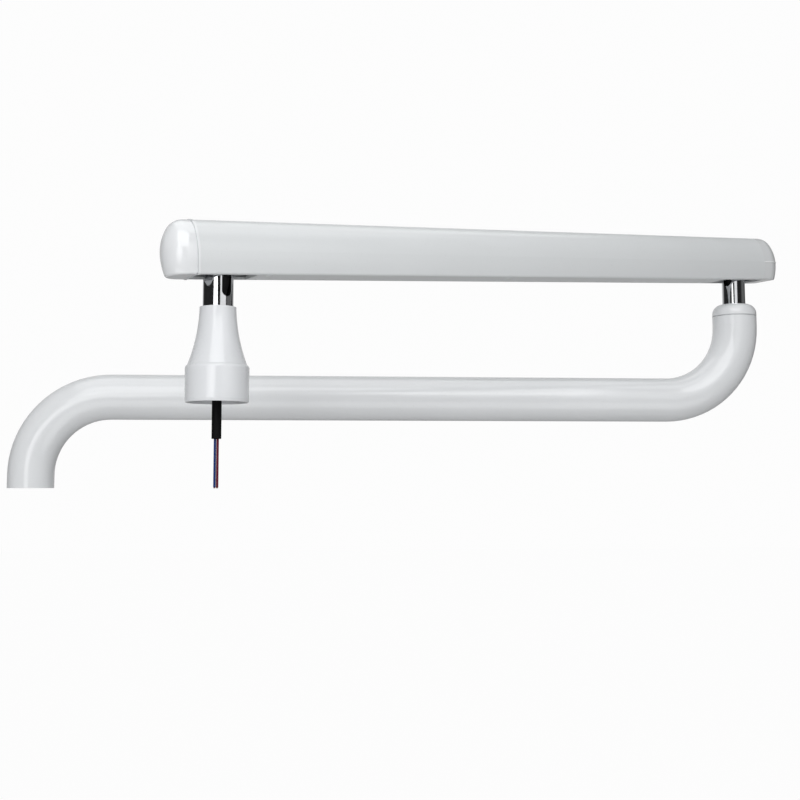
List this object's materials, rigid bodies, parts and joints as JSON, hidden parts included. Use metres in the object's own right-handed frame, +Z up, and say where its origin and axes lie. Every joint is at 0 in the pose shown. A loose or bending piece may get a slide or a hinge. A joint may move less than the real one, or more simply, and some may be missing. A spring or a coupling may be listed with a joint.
{
  "type": "dental light support arm",
  "caption": "Two-section dental light arm: a bent tube, an elbow swivel, a spring-balanced level-keeping upper arm and a swivelling lamp socket under a bell cover.",
  "frame": {"origin": "centre of the open lower end of the bent tube, where it leaves the base socket", "axes": "+Z up along the base and elbow axes; +X along the level run of the lower arm, towards the elbow"},
  "size_m": [0.7067, 0.2785, 0.2357],
  "materials": {
    "white_paint": "satin",
    "arm_paint": "satin",
    "cap_plastic": "gloss",
    "bell_plastic": "gloss",
    "chrome": "polished",
    "steel": "zinc plated",
    "spring_steel": "oiled black",
    "cast_steel": "machined",
    "aluminium": "machined",
    "bronze": "turned",
    "black_plastic": "matt",
    "black_sheath": "satin",
    "blue_insulation": "satin",
    "red_insulation": "satin"
  },
  "bodies": {
    "lower_arm": {"lower_tube": "white_paint", "elbow_collar": "white_paint", "elbow_upper_bush": "black_plastic", "elbow_lower_bush": "bronze", "tube_lead": "black_sheath"},
    "elbow_head": {"elbow_thrust_washer": "steel", "elbow_shaft": "chrome", "elbow_stop_pin": "steel", "elbow_wave_washer": "steel", "elbow_circlip": "spring_steel", "elbow_knuckle": "cast_steel", "elbow_pivot_bush": "bronze", "elbow_link_pin": "steel", "spring_pin": "steel", "elbow_lead": "black_sheath"},
    "upper_arm": {"arm_shell": "arm_paint", "bottom_cover": "arm_paint", "elbow_cap": "cap_plastic", "lamp_cap": "cap_plastic", "elbow_fork": "aluminium", "lamp_fork": "aluminium", "elbow_pivot_pin": "steel", "lamp_pivot_pin": "steel", "case_screws": "spring_steel", "spring_seat": "aluminium", "balance_spring": "spring_steel", "arm_lead": "black_sheath"},
    "link": {"link_bar": "steel"},
    "push_rod": {"spring_rod": "steel", "adjusting_nut": "steel", "spring_washer": "steel"},
    "lamp_head": {"lamp_knuckle": "cast_steel", "lamp_pivot_bush": "bronze", "lamp_link_pin": "steel", "lamp_shaft": "chrome", "lamp_stop_pin": "steel", "swivel_washer": "steel", "lamp_circlip": "spring_steel", "lamp_lead": "black_sheath"},
    "lamp_swivel": {"swivel_bush": "aluminium", "bell_cover": "bell_plastic", "sheath": "black_sheath", "blue_wire": "blue_insulation", "red_wire": "red_insulation"}
  },
  "joints": [
    {"name": "elbow_swivel", "type": "hinge", "parent": "lower_arm", "child": "elbow_head", "pos_m": [0.64, 0, 0.158], "axis": [0, 0, 1], "range_deg": [-8, 318]},
    {"name": "arm_tilt", "type": "hinge", "parent": "elbow_head", "child": "upper_arm", "pos_m": [0.64, 0, 0.2126], "axis": [-0.4226, 0.9063, 0], "range_deg": [-21.6, 34.4], "deforming": ["balance_spring"]},
    {"name": "link_pivot", "type": "hinge", "parent": "elbow_head", "child": "link", "pos_m": [0.64, 0, 0.2221], "axis": [-0.4226, 0.9063, 0], "range_deg": [-21.6, 34.4]},
    {"name": "rod_pivot", "type": "hinge", "parent": "elbow_head", "child": "push_rod", "pos_m": [0.64, 0, 0.2036], "axis": [-0.4226, 0.9063, 0], "range_deg": [-21.6, 34.4]},
    {"name": "lamp_level", "type": "hinge", "parent": "upper_arm", "child": "lamp_head", "pos_m": [0.17011, -0.21911, 0.17271], "axis": [-0.4226, 0.9063, 0], "range_deg": [-34.4, 21.6]},
    {"name": "lamp_swivel", "type": "hinge", "parent": "lamp_head", "child": "lamp_swivel", "pos_m": [0.17011, -0.21911, 0.07901], "axis": [0, 0, 1], "range_deg": [-150, 150]}
  ],
  "couplings": [
    {"joint": "link_pivot", "follows": "arm_tilt", "ratio": 1},
    {"joint": "rod_pivot", "follows": "arm_tilt", "ratio": 1},
    {"joint": "lamp_level", "follows": "arm_tilt", "ratio": -1}
  ]
}
